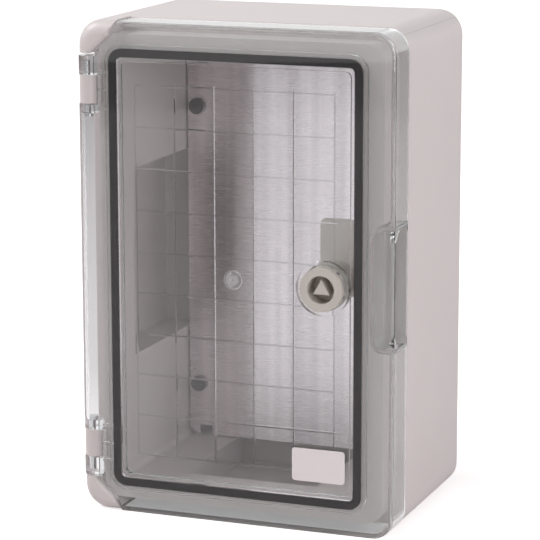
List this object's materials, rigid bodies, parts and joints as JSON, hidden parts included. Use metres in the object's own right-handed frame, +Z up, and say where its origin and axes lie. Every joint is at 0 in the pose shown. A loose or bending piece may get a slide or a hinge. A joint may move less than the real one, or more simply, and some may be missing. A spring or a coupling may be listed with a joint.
{
  "type": "plastic electrical cabinet",
  "caption": "Plastic wall cabinet for electrical equipment: clear hinged door with gasket, triangular-key quarter-turn lock, finger grip and steel mounting plate.",
  "frame": {"origin": "middle of the four wall holes, on the back plane of the case", "axes": "+X to the lock side as seen from the front, +Y from the door back to the wall, +Z up"},
  "size_m": [0.2, 0.138, 0.3],
  "materials": {
    "case_plastic": "fine satin, light warm grey",
    "clear_door": "clear, faintly smoky polycarbonate",
    "black_foam": "black foamed gasket",
    "black_rubber": "black rubber",
    "plate_steel": "brushed galvanised sheet",
    "bright_steel": "bright zinc-plated steel",
    "dark_screw": "dark blackened steel",
    "insert_brass": "plain brass",
    "lock_plastic": "satin grey",
    "pale_plastic": "satin pale grey",
    "label_film": "blank white label"
  },
  "bodies": {
    "case": {"case_shell": "case_plastic", "mounting_plate": "plate_steel", "plate_screws": "dark_screw", "plate_inserts": "insert_brass"},
    "door": {"door_panel": "clear_door", "door_gasket": "black_foam", "hinge_pin_top": "bright_steel", "hinge_pin_bottom": "bright_steel", "label_blank": "label_film", "lock_housing": "lock_plastic", "lock_seal": "black_rubber", "lock_nut": "pale_plastic"},
    "lock": {"lock_core": "pale_plastic", "core_oring": "black_rubber", "lock_tongue": "pale_plastic", "tongue_washer": "bright_steel", "tongue_screw": "bright_steel"}
  },
  "joints": [
    {"name": "door_hinge", "type": "hinge", "parent": "case", "child": "door", "pos_m": [-0.094, -0.124, 0], "axis": [0, 0, -1], "range_deg": [0, 180]},
    {"name": "lock_turn", "type": "hinge", "parent": "door", "child": "lock", "pos_m": [0.0575, -0.13, 0], "axis": [0, 1, 0], "range_deg": [0, 90]}
  ]
}
